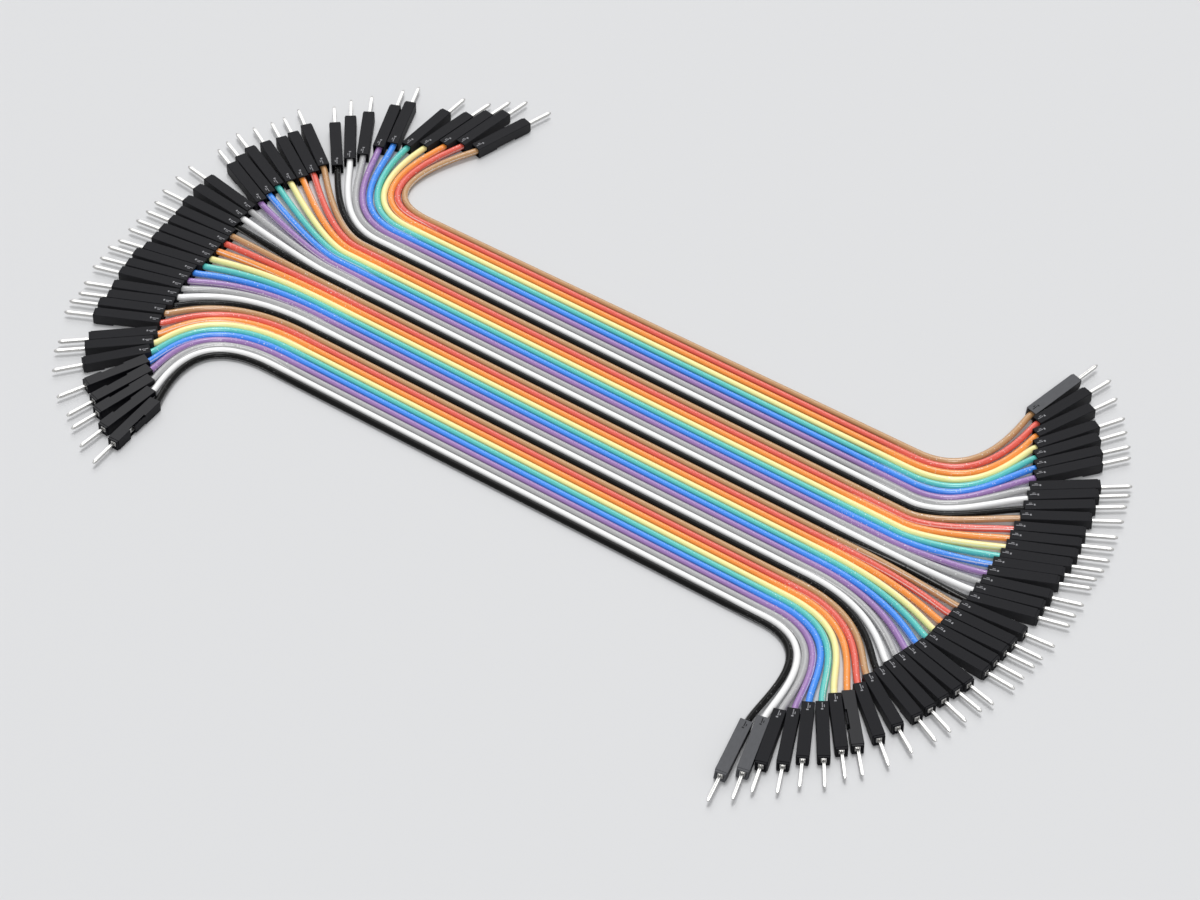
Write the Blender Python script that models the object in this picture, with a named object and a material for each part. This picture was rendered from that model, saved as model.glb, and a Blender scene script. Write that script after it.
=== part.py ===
"""Rainbow ribbon of forty breadboard jumper wires with a male pin connector on every end.

The ribbon lies flat along X on the surface z = 0 and opens into a fan of connectors at each end.
Wire 1 runs along the +Y edge and wire 40 along the -Y edge. Lengths are in metres unless a comment
says millimetres, and the origin is the middle of the whole outline, on the surface.
"""

from math import cos, radians, sin

import bmesh
import bpy
from mathutils import Matrix, Vector

MM = 0.001

# Wires
WIRE_DIAMETER = 0.0013
WIRE_GAP = 0.000105
WIRE_TUCK = 0.003
BEND_STEPS = 6

# Connector housings: a square tube round the end of the wire, closed in front round the pin
CLEARANCE = 0.0003
HOUSING_WALL = 0.0003
HOUSING_LENGTH = 0.014
FRONT_WALL = 0.001

# Latch in one side of the housing: a flush tongue between two slots along the edges, which points
# forward to an open gap. The slots are a little wider than the walls, so that the tongue is free.
LATCH_FROM_REAR = 0.0048
TONGUE_LENGTH = 0.0034
LATCH_GAP_LENGTH = 0.0016
LATCH_SLOT = 0.0004

# Turn of a housing about its length, in degrees: the latch lies underneath, but on some connectors
# it is on the right or the left of the way they point
LATCH_BELOW = -90
LATCH_RIGHT = 180
LATCH_LEFT = 0
SIDE_LATCHES = {
    "left": {36: LATCH_RIGHT, 37: LATCH_RIGHT, 38: LATCH_RIGHT, 39: LATCH_RIGHT, 40: LATCH_LEFT},
    "right": {33: LATCH_RIGHT},
}

# Contacts: a square male pin on a crimp body
PIN_WIDTH = 0.00064
PIN_LENGTH = 0.0063
PIN_TAPER = 0.0007
PIN_TIP_WIDTH = 0.0003

# Worked out from the sizes above
WIRE_PITCH = WIRE_DIAMETER + WIRE_GAP
CAVITY_WIDTH = WIRE_DIAMETER + 2 * CLEARANCE
CONTACT_WIDTH = CAVITY_WIDTH - 2 * CLEARANCE
HOUSING_WIDTH = CAVITY_WIDTH + 2 * HOUSING_WALL
PIN_HOLE_WIDTH = PIN_WIDTH + 2 * CLEARANCE
CONNECTOR_LENGTH = HOUSING_LENGTH + PIN_LENGTH

# Insulation colours, repeated along the ribbon: name, linear red, green and blue
INSULATION = (
    ("brown", (0.52, 0.29, 0.13)),
    ("red", (0.78, 0.12, 0.085)),
    ("orange", (0.94, 0.31, 0.055)),
    ("yellow", (0.96, 0.87, 0.38)),
    ("teal", (0.10, 0.56, 0.51)),
    ("blue", (0.055, 0.28, 0.90)),
    ("purple", (0.34, 0.19, 0.46)),
    ("gray", (0.44, 0.43, 0.45)),
    ("white", (0.93, 0.93, 0.93)),
    ("black", (0.009, 0.009, 0.009)),
)

# Fans, one row for each connector from wire 1 to wire 40: the way it points in degrees from +X,
# then, in millimetres, its side gap to the next one and how far forward of it the next one sits.
LEFT_FAN = (
    (74, 0.6, -1.4), (82, 0.1, -2.6), (82, 0.2, -3.3), (82, 0.2, -2.3), (89, 0.3, -0.8),
    (111, 0.1, -1.8), (112, 0.1, -3.0), (122, 0.1, -1.4), (127, 0.1, -2.0), (130, 0.4, 0.6),
    (144, 0.1, -1.4), (147, 0.1, -0.6), (148, 0.2, 0.0), (152, 0.4, 0.0), (155, 0.2, -1.4),
    (156, 0.2, -1.3), (156, 0.5, -0.7), (170, 0.2, -0.5), (174, 0.2, -0.7), (180, 0.3, -0.9),
    (183, 0.1, -0.2), (185, 0.2, 0.2), (187, 0.2, 0.0), (188, 0.1, 0.2), (192, 0.1, 1.0),
    (192, 0.1, 0.0), (195, 0.1, 0.3), (196, 0.2, 0.0), (203, 0.1, 0.2), (205, 0.1, 1.2),
    (205, 0.5, 0.2), (206, 0.9, 0.3), (222, 0.1, 0.9), (222, 0.1, 1.0), (231, 0.2, 1.5),
    (246, 0.1, 1.0), (255, 0.1, 1.5), (258, 0.2, 2.2), (265, 0.3, 1.9), (272, 0.0, 0.0),
)
RIGHT_FAN = (
    (80, 0.1, -1.0), (74, 0.05, -2.4), (68, 0.05, -1.8), (60, 0.05, -1.4), (57, 0.05, -1.1),
    (53, 0.05, -1.1), (52, 0.2, -1.7), (38, 0.05, -0.7), (38, 0.2, -1.0), (37, 0.1, -0.9),
    (33, 0.5, -1.2), (29, 0.05, -0.6), (27, 0.05, -0.5), (25, 0.05, -0.8), (24, 0.05, -1.1),
    (24, 0.05, -0.7), (24, 0.05, -0.7), (18, 0.05, -0.7), (16, 0.05, -0.4), (15, 0.1, -0.7),
    (5, 0.1, -0.4), (1, 0.2, -0.2), (1, 0.05, -0.1), (-2, 0.05, 0.1), (-4, 0.05, -0.3),
    (-13, 0.1, -0.2), (-14, 0.05, 0.1), (-18, 0.05, 0.4), (-22, 0.1, 0.5), (-25, 0.05, 0.6),
    (-33, 0.05, 1.7), (-41, 0.05, 1.5), (-49, 0.1, 0.5), (-51, 0.05, 2.0), (-55, 0.05, 0.3),
    (-61, 0.05, 2.0), (-65, 0.05, 0.9), (-71, 0.05, 2.8), (-72, 0.3, 1.9), (-76, 0.0, 0.0),
)
WIRE_COUNT = len(LEFT_FAN)

# Distance between the rears of the middle connectors, wire 20, of the two fans, and how far each
# lies to the +Y side of the ribbon's middle line
MIDDLE_WIRE = 20
WIRE_SPAN = 0.1811
LEFT_MIDDLE_ASIDE = 0.00185
RIGHT_MIDDLE_ASIDE = 0.00005

# Bends, in millimetres, at some wires and in between by straight interpolation: wire number, how
# far behind the middle connector it leaves the straight ribbon, and the pulls of its curve at both
# ends.
LEFT_BENDS = (
    (1, 30.3, 18.5, 1.0), (2, 29.8, 18.5, 1.0), (3, 29.8, 18.5, 2.0), (5, 27.8, 14.5, 2.0),
    (6, 27.8, 14.5, 6.5), (8, 26.8, 12.0, 8.0), (11, 24.3, 8.5, 2.0), (15, 22.8, 6.5, 2.0),
    (20, 22.8, 5.0, 2.0), (24, 28.3, 17.5, 2.0), (28, 30.3, 19.0, 2.0), (32, 30.8, 20.5, 2.0),
    (34, 31.8, 23.5, 2.0), (36, 31.8, 22.5, 3.5), (38, 31.8, 22.5, 2.0), (40, 31.3, 21.5, 2.0),
)
RIGHT_BENDS = (
    (1, 29.8, 15.5, 2.5), (3, 30.3, 18.5, 2.0), (5, 27.8, 15.0, 5.0), (7, 25.3, 10.5, 8.5),
    (8, 24.3, 9.5, 5.0), (11, 22.8, 6.0, 6.0), (15, 20.8, 6.0, 2.0), (20, 23.3, 11.0, 2.0),
    (24, 29.8, 19.5, 2.0), (28, 28.8, 17.0, 2.0), (32, 28.8, 16.5, 5.5), (34, 29.3, 16.5, 8.0),
    (36, 29.3, 16.0, 7.5), (38, 28.8, 15.5, 3.5), (40, 29.3, 15.0, 6.5),
)

# Towards the right end the first wires lie a little further apart than the rest
SPREAD_WIRES = 9
SPREAD_STEP = 0.00015

# The wires modelled with their housings and contacts as solids of their own. On the others the
# connectors are one solid with the wire, because the model has a limit of sixty solids.
TAKEN_APART = (1, 10, 20, 30, 40)


def direction(degrees):
    """Unit vector in the surface's plane."""
    return Vector((cos(radians(degrees)), sin(radians(degrees))))


def fan_places(rows, middle, turn):
    """Rear point of each connector, laid side by side outward from the middle one.

    turn is 1 where the next connector is to the left of this one's direction, and -1 to the right.
    """
    places = [None] * len(rows)
    places[MIDDLE_WIRE - 1] = Vector(middle)

    def step(index):
        heading, gap, forward = rows[index]
        next_heading = rows[index + 1][0]
        sideways = direction(heading + 90 * turn) + direction(next_heading + 90 * turn)
        return sideways * (HOUSING_WIDTH + gap * MM) / 2 + direction(heading) * forward * MM

    for index in range(MIDDLE_WIRE - 1, len(rows) - 1):
        places[index + 1] = places[index] + step(index)
    for index in range(MIDDLE_WIRE - 2, -1, -1):
        places[index] = places[index + 1] - step(index)
    return places


def outline_middle(fans):
    """Middle of the box around all the connectors of the given (rows, places) pairs."""
    profile = (
        (HOUSING_LENGTH, HOUSING_WIDTH / 2),
        (CONNECTOR_LENGTH - PIN_TAPER, PIN_WIDTH / 2),
        (CONNECTOR_LENGTH, PIN_TIP_WIDTH / 2),
    )
    corners = []
    for rows, places in fans:
        for (heading, _, _), place in zip(rows, places):
            for forward, aside in profile:
                for sign in (-1, 1):
                    corners.append(place + direction(heading) * forward
                                   + direction(heading + 90) * aside * sign)
    xs = [corner.x for corner in corners]
    ys = [corner.y for corner in corners]
    return Vector((min(xs) + max(xs), min(ys) + max(ys))) / 2


def at_wire(bends, wire, column):
    """A bend value at one wire, interpolated between the rows on both sides of it."""
    for low, high in zip(bends, bends[1:]):
        if wire <= high[0]:
            share = (wire - low[0]) / (high[0] - low[0])
            return low[column] + (high[column] - low[column]) * share
    return bends[-1][column]


def bend_points(edge, ribbon_pull, rear, connector_pull):
    """Points of a smooth curve from the ribbon's edge to a connector's rear, rising to its middle.

    Each pull is a vector from its end of the curve to that end's handle.
    """
    low = WIRE_DIAMETER / 2
    high = HOUSING_WIDTH / 2
    points = []
    for index in range(BEND_STEPS + 1):
        t = index / BEND_STEPS
        s = 1 - t
        flat = (edge * s ** 3 + (edge + ribbon_pull) * 3 * s * s * t
                + (rear + connector_pull) * 3 * s * t * t + rear * t ** 3)
        rise = t * t * (3 - 2 * t)
        points.append(Vector((flat.x, flat.y, low + (high - low) * rise)))
    return points


def half_route(wire, rows, places, bends, middle, side):
    """Points of one half of a wire, from the ribbon to its end inside the housing.

    side is 1 for the right half and -1 for the left.
    """
    spread = 0.0
    if side > 0:
        spread = max(0, SPREAD_WIRES - wire) * SPREAD_STEP
    across = ((WIRE_COUNT + 1) / 2 - wire) * WIRE_PITCH + spread
    behind = at_wire(bends, wire, 1) * MM
    edge = Vector((places[MIDDLE_WIRE - 1].x - side * behind, across - middle.y))
    heading = direction(rows[wire - 1][0])
    rear = places[wire - 1]
    ribbon_pull = Vector((side, 0)) * at_wire(bends, wire, 2) * MM
    connector_pull = -heading * at_wire(bends, wire, 3) * MM
    points = bend_points(edge, ribbon_pull, rear, connector_pull)
    tucked = rear + heading * WIRE_TUCK
    points.append(Vector((tucked.x, tucked.y, HOUSING_WIDTH / 2)))
    return points


def make_material(name, colour, roughness, metallic=0.0):
    """A plain Principled material."""
    material = bpy.data.materials.new(name)
    material.use_nodes = True
    shader = material.node_tree.nodes["Principled BSDF"]
    shader.inputs["Base Color"].default_value = (*colour, 1)
    shader.inputs["Roughness"].default_value = roughness
    shader.inputs["Metallic"].default_value = metallic
    return material


def link_object(name, data, material):
    """Put a new object with its material into the scene."""
    data.materials.append(material)
    piece = bpy.data.objects.new(name, data)
    bpy.context.scene.collection.objects.link(piece)
    return piece


def square_loft(name, sections):
    """Mesh of a square bar along +X through (x, width) sections, centred on the X axis."""
    bm = bmesh.new()
    rings = []
    for x, width in sections:
        half = width / 2
        corners = ((-half, -half), (half, -half), (half, half), (-half, half))
        rings.append([bm.verts.new((x, y, z)) for y, z in corners])
    for rear, front in zip(rings, rings[1:]):
        for index in range(4):
            after = (index + 1) % 4
            bm.faces.new((rear[index], rear[after], front[after], front[index]))
    bm.faces.new(rings[0][::-1])
    bm.faces.new(rings[-1])
    bmesh.ops.recalc_face_normals(bm, faces=bm.faces)
    mesh = bpy.data.meshes.new(name)
    bm.to_mesh(mesh)
    bm.free()
    return mesh


def contact_mesh():
    """Crimp body and male pin in one piece."""
    shoulder = HOUSING_LENGTH - FRONT_WALL - CLEARANCE
    return square_loft("contact", (
        (WIRE_TUCK + CLEARANCE, CONTACT_WIDTH),
        (shoulder, CONTACT_WIDTH),
        (shoulder, PIN_WIDTH),
        (CONNECTOR_LENGTH - PIN_TAPER, PIN_WIDTH),
        (CONNECTOR_LENGTH, PIN_TIP_WIDTH),
    ))


def baked_mesh(piece, name):
    """The mesh of an object with its modifiers or its curve's bevel worked in."""
    depsgraph = bpy.context.evaluated_depsgraph_get()
    mesh = bpy.data.meshes.new_from_object(piece.evaluated_get(depsgraph))
    mesh.name = name
    return mesh


def join_shapes(name, base, others, operation):
    """Mesh of a Boolean of the base object and the others, which are all removed."""
    for other in others:
        cut = base.modifiers.new(other.name, "BOOLEAN")
        cut.operation = operation
        cut.object = other
        cut.solver = "EXACT"
        cut.material_mode = "TRANSFER"
    mesh = baked_mesh(base, name)
    for piece in (base, *others):
        bpy.data.objects.remove(piece)
    return mesh


def latch_cutters(material):
    """The open gap in front of the latch tongue and the slots along both its edges, as objects."""
    tongue_tip = LATCH_FROM_REAR + TONGUE_LENGTH
    gap_end = tongue_tip + LATCH_GAP_LENGTH
    slot_end = tongue_tip + LATCH_SLOT
    half = HOUSING_WIDTH / 2
    bars = (
        (tongue_tip, gap_end, 0, HOUSING_WIDTH + LATCH_SLOT),
        (LATCH_FROM_REAR, slot_end, half, 2 * LATCH_SLOT),
        (LATCH_FROM_REAR, slot_end, -half, 2 * LATCH_SLOT),
    )
    cutters = []
    for start, end, height, width in bars:
        bar = square_loft("latch", ((start, 1), (end, 1)))
        bar.transform(Matrix.Diagonal((1, 2 * LATCH_SLOT, width, 1)))
        bar.transform(Matrix.Translation((0, half, height)))
        cutters.append(link_object("latch", bar, material))
    return cutters


def housing_mesh(material, hollow):
    """Square housing with a latch in its +Y side.

    The hollow one is bored for the wire, the contact and the pin. The other is solid inside.
    """
    block = square_loft("block", ((0, HOUSING_WIDTH), (HOUSING_LENGTH, HOUSING_WIDTH)))
    base = link_object("block", block, material)
    past = CLEARANCE
    cutters = latch_cutters(material)
    if hollow:
        cavity = square_loft("cavity", (
            (-past, CAVITY_WIDTH), (HOUSING_LENGTH - FRONT_WALL, CAVITY_WIDTH)))
        pin_hole = square_loft("pin_hole", (
            (HOUSING_LENGTH - FRONT_WALL - past, PIN_HOLE_WIDTH),
            (HOUSING_LENGTH + past, PIN_HOLE_WIDTH)))
        cutters.append(link_object("cavity", cavity, material))
        cutters.append(link_object("pin_hole", pin_hole, material))
    return join_shapes("housing", base, cutters, "DIFFERENCE")


def make_tube(name, points, material):
    """Round wire as a bevelled curve through the points."""
    curve = bpy.data.curves.new(name, "CURVE")
    curve.dimensions = "3D"
    curve.twist_mode = "Z_UP"
    curve.bevel_depth = WIRE_DIAMETER / 2
    curve.bevel_resolution = 2
    curve.use_fill_caps = True
    spline = curve.splines.new("POLY")
    spline.points.add(len(points) - 1)
    for spline_point, point in zip(spline.points, points):
        spline_point.co = (*point, 1)
    return link_object(name, curve, material)


def place_connector(piece, rear, degrees, turn):
    """Stand a connector piece on the surface at its rear point, the way it points and its turn."""
    piece.location = (rear.x, rear.y, HOUSING_WIDTH / 2)
    piece.rotation_euler = (radians(turn), 0, radians(degrees))
    return piece


def build():
    for leftover in list(bpy.data.objects):
        bpy.data.objects.remove(leftover)

    plastic = make_material("housing_black", (0.010, 0.010, 0.011), 0.42)
    tin = make_material("contact_tin", (0.76, 0.75, 0.72), 0.28, 1.0)
    insulation = [(name, make_material("insulation_" + name, colour, 0.38))
                  for name, colour in INSULATION]

    left_places = fan_places(LEFT_FAN, (-WIRE_SPAN / 2, LEFT_MIDDLE_ASIDE), 1)
    right_places = fan_places(RIGHT_FAN, (WIRE_SPAN / 2, RIGHT_MIDDLE_ASIDE), -1)
    middle = outline_middle(((LEFT_FAN, left_places), (RIGHT_FAN, right_places)))
    left_places = [place - middle for place in left_places]
    right_places = [place - middle for place in right_places]

    hollow_housing = housing_mesh(plastic, True)
    solid_housing = housing_mesh(plastic, False)
    contact = contact_mesh()
    contact.materials.append(tin)

    for wire in range(1, WIRE_COUNT + 1):
        colour, cover = insulation[(wire - 1) % len(insulation)]
        ends = (
            ("left", left_places[wire - 1], LEFT_FAN[wire - 1][0]),
            ("right", right_places[wire - 1], RIGHT_FAN[wire - 1][0]),
        )
        left_half = half_route(wire, LEFT_FAN, left_places, LEFT_BENDS, middle, -1)
        right_half = half_route(wire, RIGHT_FAN, right_places, RIGHT_BENDS, middle, 1)
        tube = make_tube(f"wire_{wire:02d}_{colour}", left_half[::-1] + right_half, cover)

        apart = wire in TAKEN_APART
        connectors = []
        for side, rear, degrees in ends:
            shell = hollow_housing if apart else solid_housing
            turn = SIDE_LATCHES[side].get(wire, LATCH_BELOW)
            for kind, mesh in (("housing", shell), ("contact", contact)):
                piece = bpy.data.objects.new(f"{kind}_{wire:02d}_{side}", mesh)
                bpy.context.scene.collection.objects.link(piece)
                connectors.append(place_connector(piece, rear, degrees, turn))

        if not apart:
            name = f"jumper_{wire:02d}_{colour}"
            carrier = bpy.data.objects.new(name, baked_mesh(tube, name))
            bpy.context.scene.collection.objects.link(carrier)
            bpy.data.objects.remove(tube)
            joined = join_shapes(name, carrier, connectors, "UNION")
            jumper = bpy.data.objects.new(name, joined)
            bpy.context.scene.collection.objects.link(jumper)


build()
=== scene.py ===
"""Looks of a rainbow ribbon of forty breadboard jumper wires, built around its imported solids.

The ribbon lies flat along X on the floor z = 0 and opens into a fan of connectors at each end.
Wire 1 runs along the +Y edge and wire 40 along the -Y edge. Lengths are in metres unless a
comment says millimetres. Every cover, housing and contact here stands for plain solids of the
same size and place.
"""

from math import cos, pi, radians, sin

import bmesh
import bpy
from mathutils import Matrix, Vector


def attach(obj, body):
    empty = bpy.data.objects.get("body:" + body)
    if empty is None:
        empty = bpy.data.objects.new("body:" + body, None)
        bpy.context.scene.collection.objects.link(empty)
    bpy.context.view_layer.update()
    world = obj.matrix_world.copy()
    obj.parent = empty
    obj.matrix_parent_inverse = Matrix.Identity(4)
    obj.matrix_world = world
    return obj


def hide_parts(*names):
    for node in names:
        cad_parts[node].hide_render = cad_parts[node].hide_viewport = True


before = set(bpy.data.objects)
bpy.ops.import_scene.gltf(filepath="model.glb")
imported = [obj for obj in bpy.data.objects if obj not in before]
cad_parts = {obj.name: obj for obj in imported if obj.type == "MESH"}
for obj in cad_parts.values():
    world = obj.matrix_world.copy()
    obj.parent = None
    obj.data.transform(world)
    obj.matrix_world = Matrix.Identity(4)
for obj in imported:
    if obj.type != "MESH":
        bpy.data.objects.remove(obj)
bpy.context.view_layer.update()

MM = 0.001

# Edges that turn by more than this many degrees stay sharp, and so do those of the wires' covers
SHARP_TURN = 35
COVER_SHARP_TURN = 50

# Camera
CAMERA_PLACE = (0.37245, -0.51595, 0.62149)
CAMERA_TARGET = (0.009025, -0.006444, 0.0)
CAMERA_LENS_MM = 133.05
SENSOR_WIDTH_MM = 36
CAMERA_NEAR = 0.01

# Lamps: name, bearing and height above the floor and the angle that the lamp fills, all in
# degrees, and strength
LAMPS = (
    ("key", 120, 76, 20, 1.40),
    ("back", 124, 44, 40, 0.70),
    ("fill", 306, 48, 16, 0.95),
)

# Floor and surroundings. The surroundings are brighter where they are seen or mirrored.
FLOOR_HALF = 6.0
FLOOR_DROP = 0.00002
FLOOR_COLOUR = (0.64, 0.645, 0.655)
FLOOR_ROUGHNESS = 0.6
STUDIO_COLOUR = (0.985, 0.99, 1.0)
STUDIO_STRENGTH = 0.30
SEEN_STRENGTH = 0.68

# Wires. They all but touch, and the frame's plain bars are a little thinner.
WIRE_DIAMETER = 0.00136
WIRE_PITCH = 0.001405
WIRE_TUCK = 0.003
BEND_STEPS = 30
RIBBON_STEPS = 12
ARC_STEP = 15

# The web that joins neighbouring wires of the ribbon, and the low ridge it leaves where they split
WEB_REACH = WIRE_PITCH / 2 - 0.000004
WEB_TIP_HALF = 0.00009
WEB_FADE = 0.002
RIDGE_SHARE = 0.3

# Housings: a square tube round the end of the wire, closed in front round the pin
HOUSING_WIDTH = 0.0025
HOUSING_LENGTH = 0.014
CAVITY_WIDTH = 0.0019
FRONT_WALL = 0.001
PIN_HOLE_WIDTH = 0.00124
HOUSING_EDGE = 0.00010
NOSE_LENGTH = 0.00045
NOSE_DEPTH = 0.00010
FUNNEL_DEPTH = 0.00030
FUNNEL_WIDTH = 0.0017

# Latch in one side of the housing: a flush tongue between two slots along the edges, which points
# forward to an open gap
LATCH_FROM_REAR = 0.0048
TONGUE_LENGTH = 0.0034
LATCH_GAP_LENGTH = 0.0016
LATCH_SLOT = 0.0004

# Turn of a housing about its length, in degrees: the latch lies underneath, but on some connectors
# it is on the right or the left of the way they point. A few housings lie a little aslant, and their
# plastic is painted paler for the sheen they catch.
LATCH_BELOW = -90
LATCH_RIGHT = 180
LATCH_LEFT = 0
SIDE_LATCHES = {
    "left": {36: LATCH_RIGHT, 37: LATCH_RIGHT, 38: LATCH_RIGHT, 39: LATCH_RIGHT, 40: LATCH_LEFT},
    "right": {33: LATCH_RIGHT},
}
ASLANT = {"left": {}, "right": {1: 7, 39: -6, 40: -7}}

# Moulding marks near the rear of the housing, on the side away from the latch: low ridges along it
# and a pip. Each is the place of its middle, from the rear and aside, and its length and width.
MARKS = (
    (0.00105, 0.00002, 0.00130, 0.00018),
    (0.00125, 0.00038, 0.00060, 0.00018),
    (0.00205, -0.00004, 0.00032, 0.00044),
)
MARK_HEIGHT = 0.00005
MARK_TOP_SHARE = 0.45

# Contacts: a square male pin on a crimp body, with a gap behind it to the wire's end and in front of
# it to the housing's front wall
CONTACT_GAP = 0.0003
CONTACT_WIDTH = 0.0013
CRIMP_WIDTH = 0.0010
CRIMP_LENGTH = 0.0024
PIN_WIDTH = 0.00064
PIN_LENGTH = 0.0063
PIN_TAPER = 0.0007
PIN_TIP_WIDTH = 0.0003
SEAM_WIDTH = 0.00009
SEAM_DEPTH = 0.00004
COLLAR_WIDTH = 0.00114
COLLAR_FROM_FRONT = 0.00016

CONNECTOR_LENGTH = HOUSING_LENGTH + PIN_LENGTH

# Plastics of the housings and their marks: linear colour, roughness and specular level. Pale is a
# lighter housing plastic, a painted sheen for the housings that lie aslant.
PLASTICS = {
    "black": ((0.0045, 0.0046, 0.0066), 0.38, 0.09),
    "matt": ((0.018, 0.018, 0.020), 0.60, 0.22),
    "pale": ((0.078, 0.080, 0.087), 0.55, 0.25),
    # The marks' light grey is a painted glint on the raised marks
    "mark": ((0.22, 0.22, 0.235), 0.40, 0.5),
}

# Tin plating of the contacts
TIN_COLOUR = (0.56, 0.555, 0.54)
TIN_ROUGHNESS = 0.30
TIN_SPECULAR = 0.5

# Grain of each finish: its waves along each axis, how far it shades the colour and spreads the
# roughness, and the strength and height of its bump. Waves are counted along a wire in millimetres
# and round it in turns, and on the other pieces in metres.
WIRE_GRAIN = ((0.35, 22.0, 1.0), 0.14, 0.12, 0.25, 0.00003)
HOUSING_GRAIN = ((900.0, 2600.0, 2600.0), 0.5, 0.16, 0.3, 0.00002)
TIN_GRAIN = ((350.0, 4000.0, 4000.0), 0.14, 0.20, 0.15, 0.00001)

# Insulation colours, repeated along the ribbon: name, linear red, green and blue
INSULATION = (
    ("brown", (0.52, 0.29, 0.13)),
    ("red", (0.78, 0.12, 0.085)),
    ("orange", (0.94, 0.31, 0.055)),
    ("yellow", (0.96, 0.87, 0.38)),
    ("teal", (0.10, 0.56, 0.51)),
    ("blue", (0.055, 0.28, 0.90)),
    ("purple", (0.34, 0.19, 0.46)),
    ("gray", (0.42, 0.42, 0.425)),
    ("white", (0.93, 0.93, 0.93)),
    ("black", (0.006, 0.006, 0.006)),
)

# Fans, one row for each connector from wire 1 to wire 40: the way it points in degrees from +X,
# then, in millimetres, its side gap to the next one and how far forward of it the next one sits.
LEFT_FAN = (
    (74, 0.6, -1.4), (82, 0.1, -2.6), (82, 0.2, -3.3), (82, 0.2, -2.3), (89, 0.3, -0.8),
    (111, 0.1, -1.8), (112, 0.1, -3.0), (122, 0.1, -1.4), (127, 0.1, -2.0), (130, 0.4, 0.6),
    (144, 0.1, -1.4), (147, 0.1, -0.6), (148, 0.2, 0.0), (152, 0.4, 0.0), (155, 0.2, -1.4),
    (156, 0.2, -1.3), (156, 0.5, -0.7), (170, 0.2, -0.5), (174, 0.2, -0.7), (180, 0.3, -0.9),
    (183, 0.1, -0.2), (185, 0.2, 0.2), (187, 0.2, 0.0), (188, 0.1, 0.2), (192, 0.1, 1.0),
    (192, 0.1, 0.0), (195, 0.1, 0.3), (196, 0.2, 0.0), (203, 0.1, 0.2), (205, 0.1, 1.2),
    (205, 0.5, 0.2), (206, 0.9, 0.3), (222, 0.1, 0.9), (222, 0.1, 1.0), (231, 0.2, 1.5),
    (246, 0.1, 1.0), (255, 0.1, 1.5), (258, 0.2, 2.2), (265, 0.3, 1.9), (272, 0.0, 0.0),
)
RIGHT_FAN = (
    (80, 0.1, -1.0), (74, 0.05, -2.4), (68, 0.05, -1.8), (60, 0.05, -1.4), (57, 0.05, -1.1),
    (53, 0.05, -1.1), (52, 0.2, -1.7), (38, 0.05, -0.7), (38, 0.2, -1.0), (37, 0.1, -0.9),
    (33, 0.5, -1.2), (29, 0.05, -0.6), (27, 0.05, -0.5), (25, 0.05, -0.8), (24, 0.05, -1.1),
    (24, 0.05, -0.7), (24, 0.05, -0.7), (18, 0.05, -0.7), (16, 0.05, -0.4), (15, 0.1, -0.7),
    (5, 0.1, -0.4), (1, 0.2, -0.2), (1, 0.05, -0.1), (-2, 0.05, 0.1), (-4, 0.05, -0.3),
    (-13, 0.1, -0.2), (-14, 0.05, 0.1), (-18, 0.05, 0.4), (-22, 0.1, 0.5), (-25, 0.05, 0.6),
    (-33, 0.05, 1.7), (-41, 0.05, 1.5), (-49, 0.1, 0.5), (-51, 0.05, 2.0), (-55, 0.05, 0.3),
    (-61, 0.05, 2.0), (-65, 0.05, 0.9), (-71, 0.05, 2.8), (-72, 0.3, 1.9), (-76, 0.0, 0.0),
)
WIRE_COUNT = len(LEFT_FAN)

# Finish of the insulation: roughness, specular level, and strengths of the marks on it: painted
# shade in the grooves, pale flecks painted in as glints, and the torn web's pale line, partly a
# painted highlight. Black is duller and shows the flecks and the torn line less.
INSULATION_ROUGHNESS = 0.21
INSULATION_SPECULAR = 0.6
MARK_STRENGTHS = {"Groove Shade": 0.70, "Glint Flecks": 0.65, "Torn": 0.60}
BLACK_SPECULAR = 0.12
BLACK_MARK_STRENGTHS = {"Groove Shade": 0.70, "Glint Flecks": 0.12, "Torn": 0.20}

# Where the painted shade in the grooves of the whole ribbon gives way to the flecks painted in as
# glints and the torn web's line: the way along a wire to its middle, and the ways from there between
# which they change, in millimetres
WIRE_MIDDLE_MM = 94
STRAIGHT_END_MM = (52, 60)

# The marks reach this far round a wire from its web, in turns: the painted shade in the groove
# beside a whole web and the pale line of a torn one
GROOVE_SHADE_TURN = 0.15
TORN_TURN = 0.022

# The flecks, pale colour painted in as glints, and the torn web's line fade in between these levels
# of the same noise. Waves are counted along the wire in millimetres and round it in turns, and so
# are those of a free wire's twist, which moves the line by up to half of the turns given.
FLECK_WAVES = (2.4, 11.0, 1.0)
FLECK_LEVELS = (0.67, 0.72)
TORN_LEVELS = (0.25, 0.45)
# Pale colour of the flecks, painted in as glints, and of the torn web's line, a real torn strip
# partly painted as its highlight
GLINT_AND_TORN_COLOUR = (0.9, 0.9, 0.9, 1)
TWIST_WAVES = (0.02, 0.7, 1.0)
TWIST_TURNS = 0.7

# Distance between the rears of the middle connectors, wire 20, of the two fans, and how far each
# lies to the +Y side of the ribbon's middle line
MIDDLE_WIRE = 20
WIRE_SPAN = 0.1811
LEFT_MIDDLE_ASIDE = 0.00185
RIGHT_MIDDLE_ASIDE = 0.00005

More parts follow.
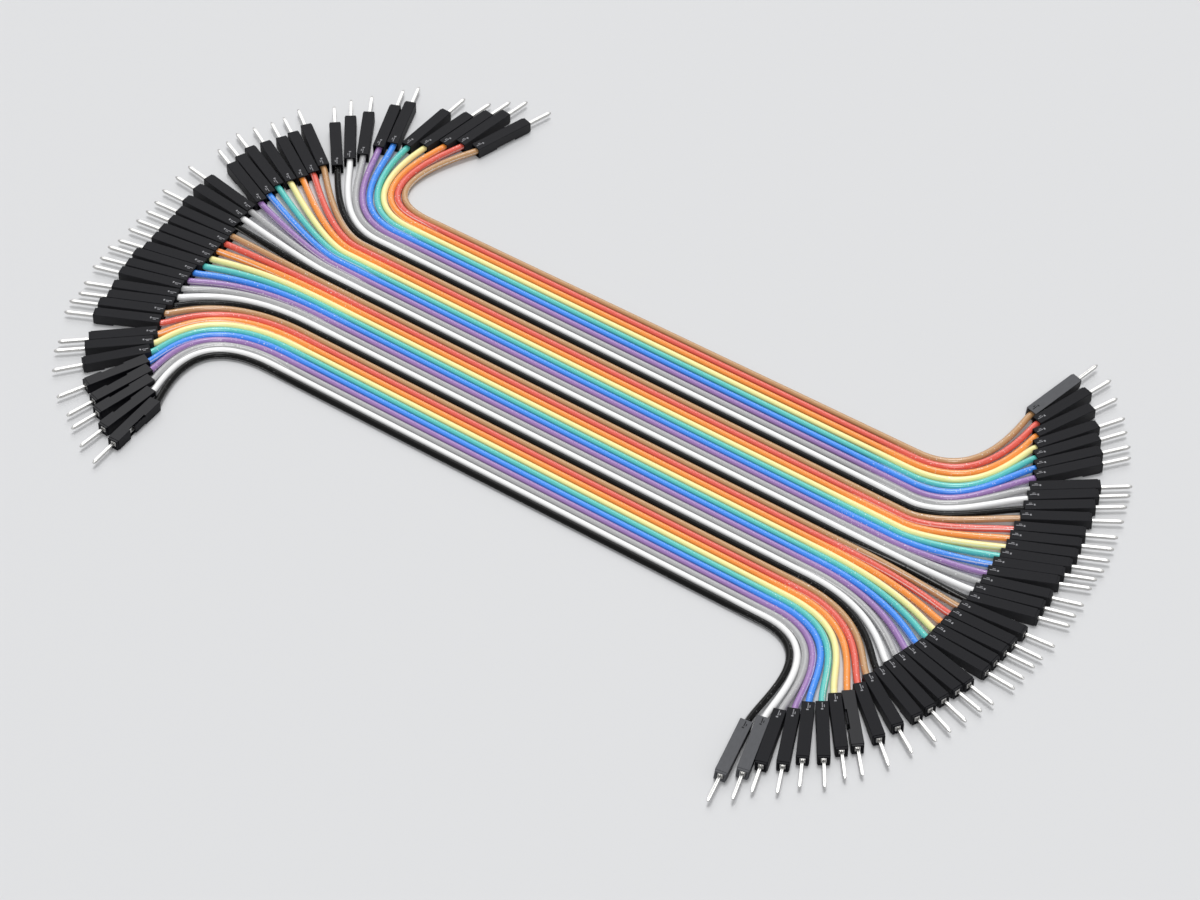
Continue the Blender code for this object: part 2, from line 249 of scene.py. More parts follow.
# Bends, in millimetres, at some wires and in between by straight interpolation: wire number, how
# far behind the middle connector it leaves the straight ribbon, and the pulls of its curve at both
# ends.
LEFT_BENDS = (
    (1, 30.3, 18.5, 1.0), (2, 29.8, 18.5, 1.0), (3, 29.8, 18.5, 2.0), (5, 27.8, 14.5, 2.0),
    (6, 27.8, 14.5, 6.5), (8, 26.8, 12.0, 8.0), (11, 24.3, 8.5, 2.0), (15, 22.8, 6.5, 2.0),
    (20, 22.8, 5.0, 2.0), (24, 28.3, 17.5, 2.0), (28, 30.3, 19.0, 2.0), (32, 30.8, 20.5, 2.0),
    (34, 31.8, 23.5, 2.0), (36, 31.8, 22.5, 3.5), (38, 31.8, 22.5, 2.0), (40, 31.3, 21.5, 2.0),
)
RIGHT_BENDS = (
    (1, 29.8, 15.5, 2.5), (3, 30.3, 18.5, 2.0), (5, 27.8, 15.0, 5.0), (7, 25.3, 10.5, 8.5),
    (8, 24.3, 9.5, 5.0), (11, 22.8, 6.0, 6.0), (15, 20.8, 6.0, 2.0), (20, 23.3, 11.0, 2.0),
    (24, 29.8, 19.5, 2.0), (28, 28.8, 17.0, 2.0), (32, 28.8, 16.5, 5.5), (34, 29.3, 16.5, 8.0),
    (36, 29.3, 16.0, 7.5), (38, 28.8, 15.5, 3.5), (40, 29.3, 15.0, 6.5),
)

# Towards the right end the first wires lie a little further apart than the rest
SPREAD_WIRES = 9
SPREAD_STEP = 0.00015

# The wires whose housings and contacts are solids of their own in the frame
TAKEN_APART = (1, 10, 20, 30, 40)


# Routes of the wires

def direction(degrees):
    """Unit vector in the floor's plane."""
    return Vector((cos(radians(degrees)), sin(radians(degrees))))


def fan_places(rows, middle, turn):
    """Rear point of each connector, laid side by side outward from the middle one.

    turn is 1 where the next connector is to the left of this one's direction, and -1 to the right.
    """
    places = [None] * len(rows)
    places[MIDDLE_WIRE - 1] = Vector(middle)

    def step(index):
        heading, gap, forward = rows[index]
        next_heading = rows[index + 1][0]
        sideways = direction(heading + 90 * turn) + direction(next_heading + 90 * turn)
        return sideways * (HOUSING_WIDTH + gap * MM) / 2 + direction(heading) * forward * MM

    for index in range(MIDDLE_WIRE - 1, len(rows) - 1):
        places[index + 1] = places[index] + step(index)
    for index in range(MIDDLE_WIRE - 2, -1, -1):
        places[index] = places[index + 1] - step(index)
    return places


def outline_middle(fans):
    """Middle of the box around all the connectors of the given (rows, places) pairs."""
    profile = (
        (HOUSING_LENGTH, HOUSING_WIDTH / 2),
        (CONNECTOR_LENGTH - PIN_TAPER, PIN_WIDTH / 2),
        (CONNECTOR_LENGTH, PIN_TIP_WIDTH / 2),
    )
    corners = []
    for rows, places in fans:
        for (heading, _, _), place in zip(rows, places):
            for forward, aside in profile:
                for sign in (-1, 1):
                    corners.append(place + direction(heading) * forward
                                   + direction(heading + 90) * aside * sign)
    xs = [corner.x for corner in corners]
    ys = [corner.y for corner in corners]
    return Vector((min(xs) + max(xs), min(ys) + max(ys))) / 2


def at_wire(bends, wire, column):
    """A bend value at one wire, interpolated between the rows on both sides of it."""
    for low, high in zip(bends, bends[1:]):
        if wire <= high[0]:
            share = (wire - low[0]) / (high[0] - low[0])
            return low[column] + (high[column] - low[column]) * share
    return bends[-1][column]


def bend_points(edge, ribbon_pull, rear, connector_pull):
    """Points of a smooth curve from the ribbon's edge to a connector's rear, rising to its middle.

    Each pull is a vector from its end of the curve to that end's handle.
    """
    low = WIRE_DIAMETER / 2
    high = HOUSING_WIDTH / 2
    points = []
    for index in range(BEND_STEPS + 1):
        t = index / BEND_STEPS
        s = 1 - t
        flat = (edge * s ** 3 + (edge + ribbon_pull) * 3 * s * s * t
                + (rear + connector_pull) * 3 * s * t * t + rear * t ** 3)
        rise = t * t * (3 - 2 * t)
        points.append(Vector((flat.x, flat.y, low + (high - low) * rise)))
    return points


def half_route(wire, rows, places, bends, middle, side):
    """Points of one half of a wire, from the ribbon to its end inside the housing.

    side is 1 for the right half and -1 for the left.
    """
    spread = 0.0
    if side > 0:
        spread = max(0, SPREAD_WIRES - wire) * SPREAD_STEP
    across = ((WIRE_COUNT + 1) / 2 - wire) * WIRE_PITCH + spread
    behind = at_wire(bends, wire, 1) * MM
    edge = Vector((places[MIDDLE_WIRE - 1].x - side * behind, across - middle.y))
    heading = direction(rows[wire - 1][0])
    rear = places[wire - 1]
    ribbon_pull = Vector((side, 0)) * at_wire(bends, wire, 2) * MM
    connector_pull = -heading * at_wire(bends, wire, 3) * MM
    points = bend_points(edge, ribbon_pull, rear, connector_pull)
    tucked = rear + heading * WIRE_TUCK
    points.append(Vector((tucked.x, tucked.y, HOUSING_WIDTH / 2)))
    return points


def ribbon_points(start, end):
    """Points of the straight run between the two bends, closer together near its ends."""
    run = end - start
    shares = [WEB_FADE * part / run.length for part in (0.5, 1.0, 2.0)]
    middle = [index / RIBBON_STEPS for index in range(1, RIBBON_STEPS)]
    return [start + run * share
            for share in (*shares, *middle, *(1 - share for share in shares[::-1]))]


# Meshes

def finished_mesh(bm, name, sharp_turn=SHARP_TURN):
    """Mesh of the bmesh, shaded smooth but for its sharp edges."""
    bmesh.ops.recalc_face_normals(bm, faces=bm.faces)
    mesh = bpy.data.meshes.new(name)
    bm.to_mesh(mesh)
    bm.free()
    mesh.shade_smooth()
    mesh.set_sharp_from_angle(angle=radians(sharp_turn))
    return mesh


def link_object(name, mesh, material):
    """Put a new object with its material into the scene."""
    if material and not mesh.materials:
        mesh.materials.append(material)
    piece = bpy.data.objects.new(name, mesh)
    bpy.context.scene.collection.objects.link(piece)
    return piece


def cover_profile(left_web, right_web):
    """Section of a wire's cover from its lowest point round the right side, as (aside, up) pairs.

    Each web share is 0 for a plain round side and 1 for a web that meets the next wire's.
    """
    radius = WIRE_DIAMETER / 2
    tip_round = (radius ** 2 - WEB_TIP_HALF ** 2) ** 0.5
    left_tip = tip_round + (WEB_REACH - tip_round) * left_web
    right_tip = tip_round + (WEB_REACH - tip_round) * right_web

    def arc(first, last):
        return [(radius * cos(radians(degrees)), radius * sin(radians(degrees)))
                for degrees in range(first, last, ARC_STEP)]

    return (arc(-90, 0) + [(right_tip, -WEB_TIP_HALF), (right_tip, WEB_TIP_HALF)]
            + arc(ARC_STEP, 180) + [(-left_tip, WEB_TIP_HALF), (-left_tip, -WEB_TIP_HALF)]
            + arc(180 + ARC_STEP, 270))


def cover_mesh(name, wire, points, webs):
    """Cover of one wire along its route. webs gives the (left, right) web shares at each point.

    The map called lay has the way along it in millimetres, and the wire's number plus the turns
    round it from its lowest point.
    """
    bm = bmesh.new()
    lay = bm.loops.layers.uv.new("lay")
    rings = []
    travelled = [0.0]
    for index, point in enumerate(points):
        before = points[max(index - 1, 0)]
        after = points[min(index + 1, len(points) - 1)]
        along = (after - before).normalized()
        aside = along.cross(Vector((0, 0, 1))).normalized()
        upward = aside.cross(along)
        rings.append([bm.verts.new(point + aside * a + upward * b)
                      for a, b in cover_profile(*webs[index])])
        if index:
            travelled.append(travelled[-1] + (point - points[index - 1]).length)
    count = len(rings[0])
    for row, (rear, front) in enumerate(zip(rings, rings[1:])):
        for index in range(count):
            after = (index + 1) % count
            face = bm.faces.new((rear[index], rear[after], front[after], front[index]))
            low, high = wire + index / count, wire + (index + 1) / count
            turns = (low, high, high, low)
            ways = (travelled[row], travelled[row], travelled[row + 1], travelled[row + 1])
            for loop, way, turn in zip(face.loops, ways, turns):
                loop[lay].uv = (way / MM, turn)
    bm.faces.new(rings[0][::-1])
    bm.faces.new(rings[-1])
    return finished_mesh(bm, name, COVER_SHARP_TURN)


def rounded_square(half, radius, corner_steps=3):
    """Points of a square with rounded corners, as (y, z) pairs."""
    points = []
    inner = half - radius
    for quarter, (y, z) in enumerate(((1, 1), (-1, 1), (-1, -1), (1, -1))):
        for step in range(corner_steps + 1):
            turn = pi / 2 * (quarter + step / corner_steps)
            points.append((inner * y + radius * cos(turn), inner * z + radius * sin(turn)))
    return points


def loft(bm, sections, closed=False):
    """Faces through rings of points along X. sections are (x, [(y, z), ...]) pairs."""
    rings = [[bm.verts.new((x, y, z)) for y, z in ring] for x, ring in sections]
    count = len(rings[0])
    pairs = list(zip(rings, rings[1:]))
    if closed:
        pairs.append((rings[-1], rings[0]))
    for rear, front in pairs:
        for index in range(count):
            after = (index + 1) % count
            bm.faces.new((rear[index], rear[after], front[after], front[index]))
    if not closed:
        bm.faces.new(rings[0][::-1])
        bm.faces.new(rings[-1])


def box_piece(name, low, high, material):
    """Box between two corners."""
    bm = bmesh.new()
    ring = ((low[1], low[2]), (high[1], low[2]), (high[1], high[2]), (low[1], high[2]))
    loft(bm, ((low[0], ring), (high[0], ring)))
    return link_object(name, finished_mesh(bm, name), material)


def joined_mesh(name, base, others):
    """Mesh of the base object after a Boolean with each (object, operation). All are removed."""
    for other, operation in others:
        change = base.modifiers.new(other.name, "BOOLEAN")
        change.operation = operation
        change.object = other
        change.solver = "EXACT"
        change.material_mode = "TRANSFER"
    depsgraph = bpy.context.evaluated_depsgraph_get()
    mesh = bpy.data.meshes.new_from_object(base.evaluated_get(depsgraph))
    mesh.name = name
    for piece in (base, *(other for other, _ in others)):
        bpy.data.objects.remove(piece)
    mesh.shade_smooth()
    mesh.set_sharp_from_angle(angle=radians(SHARP_TURN))
    return flattened(mesh)


def flattened(mesh):
    """The mesh with its shading weighted so that the large faces stay flat beside their edges."""
    piece = link_object("flattened", mesh, None)
    weighted = piece.modifiers.new("weighted", "WEIGHTED_NORMAL")
    weighted.keep_sharp = True
    weighted.weight = 100
    depsgraph = bpy.context.evaluated_depsgraph_get()
    result = bpy.data.meshes.new_from_object(piece.evaluated_get(depsgraph))
    result.name = mesh.name
    bpy.data.objects.remove(piece)
    return result


def housing_shell():
    """Hollow square housing from its rear to its nose, without the latch.

    Its outline is (way from the rear, half width, corner radius as a share of the edge's).
    """
    half = HOUSING_WIDTH / 2
    hole = PIN_HOLE_WIDTH / 2
    cavity = CAVITY_WIDTH / 2
    edge = HOUSING_EDGE
    nose = half - NOSE_DEPTH
    front = HOUSING_LENGTH
    outline = (
        (front - FRONT_WALL, hole, 0.1), (front - FUNNEL_DEPTH, hole, 0.1),
        (front, FUNNEL_WIDTH / 2, 0.15), (front, nose - 0.4 * edge, 0.6),
        (front - 0.4 * edge, nose, 1.0), (front - NOSE_LENGTH, nose, 1.0),
        (front - NOSE_LENGTH, half - 0.4 * edge, 1.0),
        (front - NOSE_LENGTH - 0.4 * edge, half, 1.0),
        (edge, half, 1.0), (0.3 * edge, half - 0.3 * edge, 1.0), (0, half - edge, 0.8),
        (0, cavity + 0.6 * edge, 0.8), (0.6 * edge, cavity, 0.6),
        (front - FRONT_WALL, cavity, 0.6),
    )
    bm = bmesh.new()
    loft(bm, [(x, rounded_square(width, edge * corner)) for x, width, corner in outline], True)
    return finished_mesh(bm, "housing_shell")


def mark_ridge(from_rear, aside, length, width, material):
    """Low ridge with sloped sides on the -Y side of the housing."""
    half = HOUSING_WIDTH / 2
    bm = bmesh.new()
    rings = []
    for depth, share in ((half - MARK_HEIGHT, 1.0), (half, 1.0),
                         (half + MARK_HEIGHT, MARK_TOP_SHARE)):
        rings.append([bm.verts.new((from_rear + x * length * share / 2, -depth,
                                    aside + z * width * share / 2))
                      for x, z in ((-1, -1), (1, -1), (1, 1), (-1, 1))])
    for lower, upper in zip(rings, rings[1:]):
        for index in range(4):
            after = (index + 1) % 4
            bm.faces.new((lower[index], lower[after], upper[after], upper[index]))
    bm.faces.new(rings[0][::-1])
    bm.faces.new(rings[-1])
    return link_object("mark", finished_mesh(bm, "mark"), material)


def housing_mesh(name, side, flank, mark):
    """Housing with a latch in its +Y side and marks on its -Y side, in the side's plastic.

    The two flanks between them have a plastic of their own.
    """
    half = HOUSING_WIDTH / 2
    past = HOUSING_WIDTH
    inside = half - LATCH_SLOT
    start = LATCH_FROM_REAR
    tip = start + TONGUE_LENGTH
    shell = housing_shell()
    shell.materials.append(side)
    shell.materials.append(flank)
    for face in shell.polygons:
        if abs(face.normal.z) > 0.9 and abs(face.center.z) > half - 2 * NOSE_DEPTH:
            face.material_index = 1
    base = link_object("housing_shell", shell, None)
    cuts = (
        ("latch_gap", tip, tip + LATCH_GAP_LENGTH, -past, past),
        ("slot_low", start, tip + LATCH_SLOT, -past, -inside),
        ("slot_high", start, tip + LATCH_SLOT, inside, past),
    )
    shapes = [(box_piece(label, (rear, inside, low), (front, past, high), side), "DIFFERENCE")
              for label, rear, front, low, high in cuts]
    shapes += [(mark_ridge(*sizes, mark), "UNION") for sizes in MARKS]
    return joined_mesh(name, base, shapes)


def contact_section(half, radius, groove):
    """Rounded square with a fold seam of that depth along its top, as (y, z) pairs."""
    ring = rounded_square(half, radius)
    seam = SEAM_WIDTH / 2
    top = [(seam, half), (0, half - groove), (-seam, half)]
    return ring[:4] + top + ring[4:]


def contact_mesh(tin):
    """Crimp body and folded male pin in one piece.

    Its outline is (way from the housing's rear, half width, corner radius in millimetres, share
    of the seam's depth).
    """
    rear = WIRE_TUCK + CONTACT_GAP
    shoulder = HOUSING_LENGTH - FRONT_WALL - CONTACT_GAP
    tip = CONNECTOR_LENGTH
    crimp, body, pin = CRIMP_WIDTH / 2, CONTACT_WIDTH / 2, PIN_WIDTH / 2
    collar, collar_front = COLLAR_WIDTH / 2, HOUSING_LENGTH - COLLAR_FROM_FRONT
    outline = (
        (rear, crimp, 0.3, 0), (rear + CRIMP_LENGTH, crimp, 0.3, 0),
        (rear + CRIMP_LENGTH + 0.3 * MM, body, 0.08, 0), (shoulder - 0.06 * MM, body, 0.08, 0),
        (shoulder, body - 0.06 * MM, 0.08, 0), (shoulder, collar, 0.07, 0),
        (collar_front - 0.05 * MM, collar, 0.07, 0),
        (collar_front, collar - 0.05 * MM, 0.07, 0), (collar_front, pin, 0.06, 0),
        (collar_front + 0.3 * MM, pin, 0.06, 1), (tip - PIN_TAPER - 0.2 * MM, pin, 0.06, 1),
        (tip - PIN_TAPER, pin, 0.07, 0), (tip - 0.5 * PIN_TAPER, 0.78 * pin, 0.07, 0),
        (tip - 0.06 * MM, PIN_TIP_WIDTH / 2 + 0.02 * MM, 0.07, 0),
        (tip, PIN_TIP_WIDTH / 2, 0.06, 0),
    )
    bm = bmesh.new()
    loft(bm, [(x, contact_section(width, corner * MM, SEAM_DEPTH * seam))
              for x, width, corner, seam in outline])
    mesh = flattened(finished_mesh(bm, "contact"))
    mesh.materials.append(tin)
    return mesh


# Materials

def feed(tree, socket, value):
    """Give a socket another socket's output or a plain value."""
    if isinstance(value, bpy.types.NodeSocket):
        tree.links.new(value, socket)
    else:
        socket.default_value = value


def maths(tree, operation, *values):
    """Output of a new Math node."""
    node = tree.nodes.new("ShaderNodeMath")
    node.operation = operation
    for socket, value in zip(node.inputs, values):
        feed(tree, socket, value)
    return node.outputs[0]


def between(tree, value, levels):
    """Output that rises from 0 to 1 as the value goes from the first level to the second."""
    node = tree.nodes.new("ShaderNodeMapRange")
    feed(tree, node.inputs["Value"], value)
    feed(tree, node.inputs["From Min"], levels[0])
    feed(tree, node.inputs["From Max"], levels[1])
    return node.outputs["Result"]


def scaled(tree, colour, share):
    """The colour made darker or lighter by a share."""
    node = tree.nodes.new("ShaderNodeVectorMath")
    node.operation = "SCALE"
    feed(tree, node.inputs[0], colour)
    feed(tree, node.inputs["Scale"], share)
    return node.outputs[0]


def noise_of(tree, vector, waves, detail):
    """Noise with that many waves along each axis of the vector."""
    stretched = tree.nodes.new("ShaderNodeVectorMath")
    stretched.operation = "MULTIPLY"
    feed(tree, stretched.inputs[0], vector)
    feed(tree, stretched.inputs[1], waves)
    noise = tree.nodes.new("ShaderNodeTexNoise")
    feed(tree, noise.inputs["Vector"], stretched.outputs[0])
    feed(tree, noise.inputs["Scale"], 1.0)
    feed(tree, noise.inputs["Detail"], detail)
    return noise.outputs["Fac"]


def new_group(name, inputs, outputs):
    """Node group with sockets from (name, kind) pairs, and its input and output nodes."""
    tree = bpy.data.node_groups.new(name, "ShaderNodeTree")
    for sockets, way in ((inputs, "INPUT"), (outputs, "OUTPUT")):
        for label, kind in sockets:
            tree.interface.new_socket(label, in_out=way, socket_type="NodeSocket" + kind)
    given = tree.nodes.new("NodeGroupInput").outputs
    result = tree.nodes.new("NodeGroupOutput").inputs
    return tree, given, result


def grain_group():
    """Noise along a surface: shades a colour, and gives a roughness and a height.

    Stretch is the number of waves along each axis of Vector.
    """
    tree, given, result = new_group(
        "grain",
        (("Vector", "Vector"), ("Colour", "Color"), ("Stretch", "Vector"), ("Shade", "Float"),
         ("Roughness", "Float"), ("Roughness Spread", "Float")),
        (("Colour", "Color"), ("Roughness", "Float"), ("Height", "Float")))
    noise = noise_of(tree, given["Vector"], given["Stretch"], detail=4.0)
    centred = maths(tree, "SUBTRACT", noise, 0.5)
    shade = maths(tree, "MULTIPLY_ADD", centred, given["Shade"], 1.0)
    rough = maths(tree, "MULTIPLY_ADD", centred, given["Roughness Spread"], given["Roughness"])
    feed(tree, result["Colour"], scaled(tree, given["Colour"], shade))
    feed(tree, result["Roughness"], rough)
    feed(tree, result["Height"], noise)
    return tree


def ribbon_group():
    """Marks of the ribbon on a wire: painted shade darkening the grooves beside the web in the
    straight stretch, and past it sparse pale flecks painted in as glints and a pale line where the
    web tore, partly a painted highlight. Lay is the map of the cover.
    """
    tree, given, result = new_group(
        "ribbon",
        (("Lay", "Vector"), ("Colour", "Color"), ("Groove Shade", "Float"), ("Glint Flecks", "Float"),
         ("Torn", "Float")),
        (("Colour", "Color"),))
    lay = tree.nodes.new("ShaderNodeSeparateXYZ")
    feed(tree, lay.inputs[0], given["Lay"])
    from_middle = maths(tree, "ABSOLUTE", maths(tree, "SUBTRACT", lay.outputs["X"], WIRE_MIDDLE_MM))
    bent = between(tree, from_middle, STRAIGHT_END_MM)
    straight = maths(tree, "SUBTRACT", 1.0, bent)

    drift = maths(tree, "SUBTRACT", noise_of(tree, given["Lay"], TWIST_WAVES, detail=0.0), 0.5)
    twist = maths(tree, "MULTIPLY", drift, bent)
    twisted = maths(tree, "MULTIPLY_ADD", twist, TWIST_TURNS, lay.outputs["Y"])
    turn = maths(tree, "FRACT", twisted)
    from_top = maths(tree, "ABSOLUTE", maths(tree, "SUBTRACT", turn, 0.5))
    from_web = maths(tree, "ABSOLUTE", maths(tree, "SUBTRACT", from_top, 0.25))

    # Painted shade: the colour is darkened in the groove beside the web along the straight stretch
    shade_beside_web = maths(tree, "MULTIPLY", between(tree, from_web, (GROOVE_SHADE_TURN, 0.0)),
                       given["Groove Shade"])
    groove = maths(tree, "MULTIPLY", straight, shade_beside_web)
    groove_shaded = scaled(tree, given["Colour"], maths(tree, "SUBTRACT", 1.0, groove))

    # Painted glints: sparse pale flecks past the straight stretch
    noise = noise_of(tree, given["Lay"], FLECK_WAVES, detail=1.0)
    flecks = maths(tree, "MULTIPLY", between(tree, noise, FLECK_LEVELS), given["Glint Flecks"])
    dashes = maths(tree, "MULTIPLY", between(tree, noise, TORN_LEVELS), given["Torn"])
    # The torn web's pale line: a real torn strip, partly a painted highlight
    on_line = maths(tree, "LESS_THAN", from_web, TORN_TURN)
    torn = maths(tree, "MULTIPLY", on_line, dashes)
    glints_and_torn = maths(tree, "MULTIPLY", bent, maths(tree, "MAXIMUM", flecks, torn))
    pale = tree.nodes.new("ShaderNodeMix")
    pale.data_type = "RGBA"
    feed(tree, pale.inputs["Factor"], glints_and_torn)
    feed(tree, pale.inputs["A"], groove_shaded)
    feed(tree, pale.inputs["B"], GLINT_AND_TORN_COLOUR)
    feed(tree, result["Colour"], pale.outputs["Result"])
    return tree


def principled_material(name, specular, metallic=0.0):
    """New material, with its node tree and shader."""
    material = bpy.data.materials.new(name)
    material.use_nodes = True
    tree = material.node_tree
    shader = tree.nodes["Principled BSDF"]
    shader.inputs["Metallic"].default_value = metallic
    shader.inputs["Specular IOR Level"].default_value = specular
    return material, tree, shader


def grained(tree, shader, group, vector, colour, roughness, kind):
    """Colour of a surface with that kind of grain, which also gives its roughness and bump."""
    stretch, shade, spread, strength, height = kind
    grain = tree.nodes.new("ShaderNodeGroup")
    grain.node_tree = group
    tree.links.new(vector, grain.inputs["Vector"])
    grain.inputs["Colour"].default_value = (*colour, 1)
    grain.inputs["Stretch"].default_value = stretch
    grain.inputs["Shade"].default_value = shade
    grain.inputs["Roughness"].default_value = roughness
    grain.inputs["Roughness Spread"].default_value = spread
    tree.links.new(grain.outputs["Roughness"], shader.inputs["Roughness"])
    relief = tree.nodes.new("ShaderNodeBump")
    relief.inputs["Strength"].default_value = strength
    relief.inputs["Distance"].default_value = height
    tree.links.new(grain.outputs["Height"], relief.inputs["Height"])
    tree.links.new(relief.outputs["Normal"], shader.inputs["Normal"])
    return grain.outputs["Colour"]


def insulation_material(name, colour, grain_tree, ribbon_tree):
    """Extruded PVC: faint streaks along the wire, a fine satin skin, and marks of the ribbon, with
    painted shade in its grooves and pale flecks painted in as glints.
    """
    black = name == "black"
    specular = BLACK_SPECULAR if black else INSULATION_SPECULAR
    material, tree, shader = principled_material("insulation_" + name, specular)
    lay = tree.nodes.new("ShaderNodeUVMap")
    lay.uv_map = "lay"
    streaked = grained(tree, shader, grain_tree, lay.outputs["UV"], colour,
                       INSULATION_ROUGHNESS, WIRE_GRAIN)
    marks = tree.nodes.new("ShaderNodeGroup")
    marks.node_tree = ribbon_tree
    for label, strength in (BLACK_MARK_STRENGTHS if black else MARK_STRENGTHS).items():
        marks.inputs[label].default_value = strength
    tree.links.new(lay.outputs["UV"], marks.inputs["Lay"])
    tree.links.new(streaked, marks.inputs["Colour"])
    tree.links.new(marks.outputs["Colour"], shader.inputs["Base Color"])
    return material


def moulded_material(name, grain_tree):
    """Moulded plastic of a housing, with a fine satin grain."""
    colour, roughness, specular = PLASTICS[name]
    material, tree, shader = principled_material("housing_" + name, specular)
    place = tree.nodes.new("ShaderNodeTexCoord")
    grain = grained(tree, shader, grain_tree, place.outputs["Object"], colour, roughness,
                    HOUSING_GRAIN)
    tree.links.new(grain, shader.inputs["Base Color"])
    return material


def contact_material(grain_tree):
    """Bright tin plating with drawing streaks along the pin."""
    material, tree, shader = principled_material("contact_tin", TIN_SPECULAR, metallic=1.0)
    place = tree.nodes.new("ShaderNodeTexCoord")
    grain = grained(tree, shader, grain_tree, place.outputs["Object"], TIN_COLOUR, TIN_ROUGHNESS,
                    TIN_GRAIN)
    tree.links.new(grain, shader.inputs["Base Color"])
    return material


# Stage

def make_camera():
    """Camera at the photograph's angle."""
    data = bpy.data.cameras.new("camera")
    data.sensor_width = SENSOR_WIDTH_MM
    data.lens = CAMERA_LENS_MM
    data.clip_start = CAMERA_NEAR
    camera = bpy.data.objects.new("camera", data)
    camera.location = CAMERA_PLACE
    sight = Vector(CAMERA_TARGET) - camera.location
    camera.rotation_euler = sight.to_track_quat("-Z", "Y").to_euler()
    bpy.context.scene.collection.objects.link(camera)
    bpy.context.scene.camera = camera


def add_light(name, bearing, height, spread, strength):
    """Soft distant light from a bearing and height above the floor, both in degrees."""
    data = bpy.data.lights.new(name, "SUN")
    data.angle = radians(spread)
    data.energy = strength
    lamp = bpy.data.objects.new(name, data)
    aside = direction(bearing) * cos(radians(height))
    towards = Vector((aside.x, aside.y, sin(radians(height))))
    lamp.location = towards
    lamp.rotation_euler = towards.to_track_quat("Z", "Y").to_euler()
    bpy.context.scene.collection.objects.link(lamp)


def make_floor():
    """Pale floor under the object."""
    half = FLOOR_HALF
    bm = bmesh.new()
    corners = ((-half, -half), (half, -half), (half, half), (-half, half))
    bm.faces.new([bm.verts.new((x, y, 0)) for x, y in corners])
    material = bpy.data.materials.new("floor")
    material.use_nodes = True
    shader = material.node_tree.nodes["Principled BSDF"]
    shader.inputs["Base Color"].default_value = (*FLOOR_COLOUR, 1)
    shader.inputs["Roughness"].default_value = FLOOR_ROUGHNESS
    floor = link_object("floor", finished_mesh(bm, "floor"), material)
    floor.location.z = -FLOOR_DROP


def make_world():
    """Even studio surroundings, as bright as the floor where they are seen or mirrored."""
    world = bpy.data.worlds.new("studio")
    world.use_nodes = True
    tree = world.node_tree
    background = tree.nodes["Background"]
    background.inputs["Color"].default_value = (*STUDIO_COLOUR, 1)
    rays = tree.nodes.new("ShaderNodeLightPath").outputs
    mirrored = maths(tree, "MAXIMUM", rays["Is Glossy Ray"], rays["Is Transmission Ray"])
    strength = tree.nodes.new("ShaderNodeMapRange")
    feed(tree, strength.inputs["Value"], maths(tree, "MAXIMUM", rays["Is Camera Ray"], mirrored))
    feed(tree, strength.inputs["To Min"], STUDIO_STRENGTH)
    feed(tree, strength.inputs["To Max"], SEEN_STRENGTH)
    feed(tree, background.inputs["Strength"], strength.outputs["Result"])
    bpy.context.scene.world = world


def make_stage():
    """Everything around the object."""
    make_camera()
    make_floor()
    make_world()
    for lamp in LAMPS:
        add_light(*lamp)
    bpy.context.scene.view_settings.view_transform = "Standard"


# The jumpers

def web_shares(wire, points, bend_count):
    """(left, right) web shares at each point of a wire's whole route."""
    last = len(points) - 1
    shares = []
    for index in range(len(points)):
        bonded = bend_count <= index <= last - bend_count
        share = 1.0 if bonded else RIDGE_SHARE
        left = share if wire > 1 else RIDGE_SHARE
        right = share if wire < WIRE_COUNT else RIDGE_SHARE
        shares.append((left, right))
    return shares


def add_connector(wire, side, rear, degrees, meshes):
    """Housing and contact on one end of a wire."""
    half = HOUSING_WIDTH / 2
    turn = radians(SIDE_LATCHES[side].get(wire, LATCH_BELOW))
    slant = radians(ASLANT[side].get(wire, 0))
    height = half * (cos(slant) + abs(sin(slant)))
    pieces = []
    # Housings that lie aslant take the shell in pale plastic, a painted sheen
    shell = meshes["sheen_painted_shell" if slant else "shell"]
    for kind, mesh, part in (("shell", shell, "housing"), ("pin", meshes["pin"], "contact")):
        piece = link_object(f"{kind}_{wire:02d}_{side}", mesh, None)
        piece.location = (rear.x, rear.y, height)
        piece.rotation_euler = (turn + slant if kind == "shell" else slant, 0, radians(degrees))
        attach(piece, "root")
        if wire in TAKEN_APART:
            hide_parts(f"{part}_{wire:02d}_{side}")
        pieces.append(piece)
    return pieces


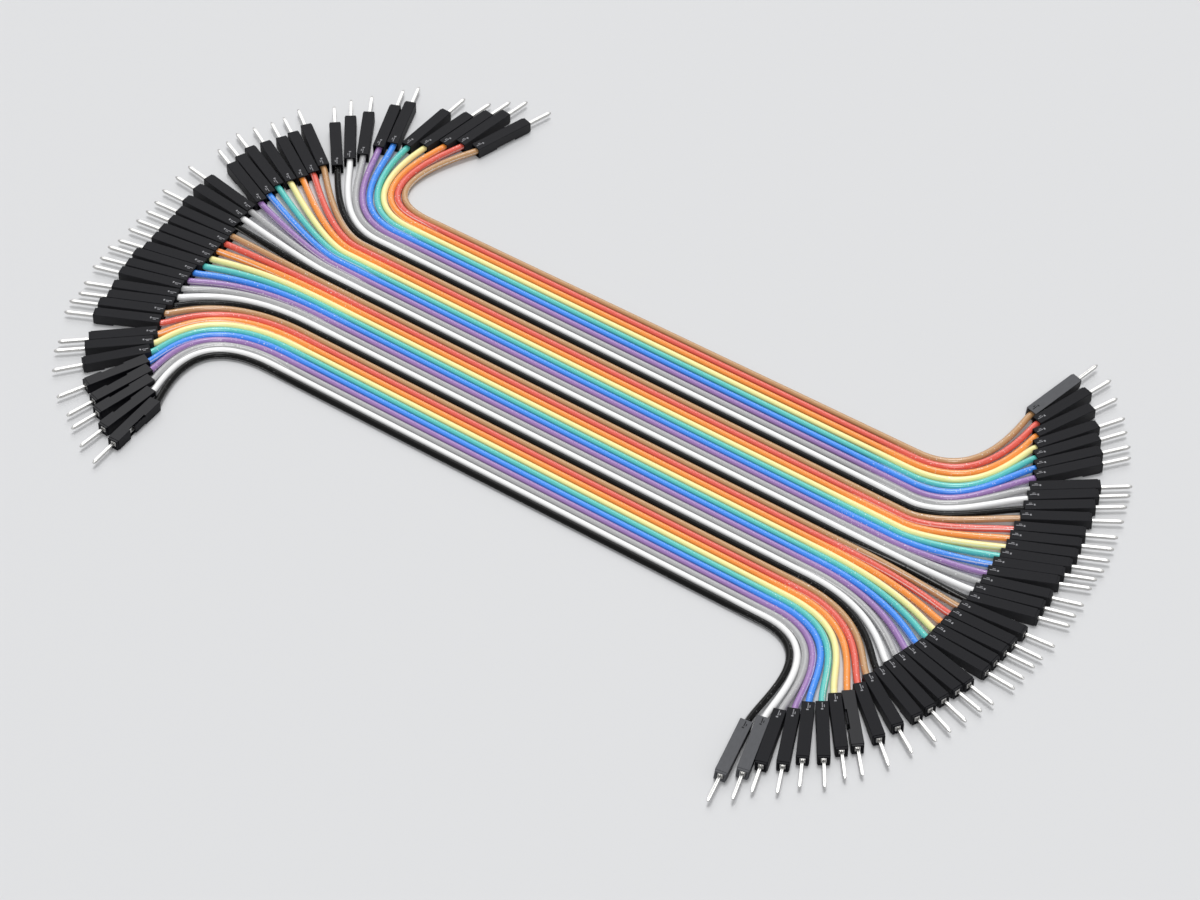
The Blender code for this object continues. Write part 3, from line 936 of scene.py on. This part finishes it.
def add_jumper(wire, fans, middle, meshes, covers):
    """One wire with its cover, housings and contacts."""
    colour, cover = covers[(wire - 1) % len(covers)]
    (left_rows, left_places), (right_rows, right_places) = fans
    left_half = half_route(wire, left_rows, left_places, LEFT_BENDS, middle, -1)
    right_half = half_route(wire, right_rows, right_places, RIGHT_BENDS, middle, 1)
    straight = ribbon_points(left_half[0], right_half[0])
    points = left_half[::-1] + straight + right_half
    webs = web_shares(wire, points, len(left_half))
    name = f"cover_{wire:02d}_{colour}"
    piece = link_object(name, cover_mesh(name, wire, points, webs), cover)
    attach(piece, "root")
    node = f"wire_{wire:02d}_{colour}" if wire in TAKEN_APART else f"jumper_{wire:02d}_{colour}"
    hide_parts(node)

    ends = (
        ("left", left_places[wire - 1], left_rows[wire - 1][0]),
        ("right", right_places[wire - 1], right_rows[wire - 1][0]),
    )
    connectors = []
    for side, rear, degrees in ends:
        connectors += add_connector(wire, side, rear, degrees, meshes)


def build():
    """The stage and the forty jumpers on it."""
    make_stage()
    left_places = fan_places(LEFT_FAN, (-WIRE_SPAN / 2, LEFT_MIDDLE_ASIDE), 1)
    right_places = fan_places(RIGHT_FAN, (WIRE_SPAN / 2, RIGHT_MIDDLE_ASIDE), -1)
    middle = outline_middle(((LEFT_FAN, left_places), (RIGHT_FAN, right_places)))
    fans = (
        (LEFT_FAN, [place - middle for place in left_places]),
        (RIGHT_FAN, [place - middle for place in right_places]),
    )
    grain_tree, ribbon_tree = grain_group(), ribbon_group()
    covers = [(name, insulation_material(name, colour, grain_tree, ribbon_tree))
              for name, colour in INSULATION]
    plastics = {name: moulded_material(name, grain_tree) for name in PLASTICS}
    black, matt, pale = plastics["black"], plastics["matt"], plastics["pale"]
    meshes = {
        # Black housings whose marks are in light grey plastic, a painted glint
        "shell": housing_mesh("housing", black, matt, plastics["mark"]),
        # Shell in pale plastic, a painted sheen, with black marks, for the housings that lie aslant
        "sheen_painted_shell": housing_mesh("sheen_painted_housing", pale, matt, black),
        "pin": contact_mesh(contact_material(grain_tree)),
    }
    for wire in range(1, WIRE_COUNT + 1):
        add_jumper(wire, fans, middle, meshes, covers)


build()
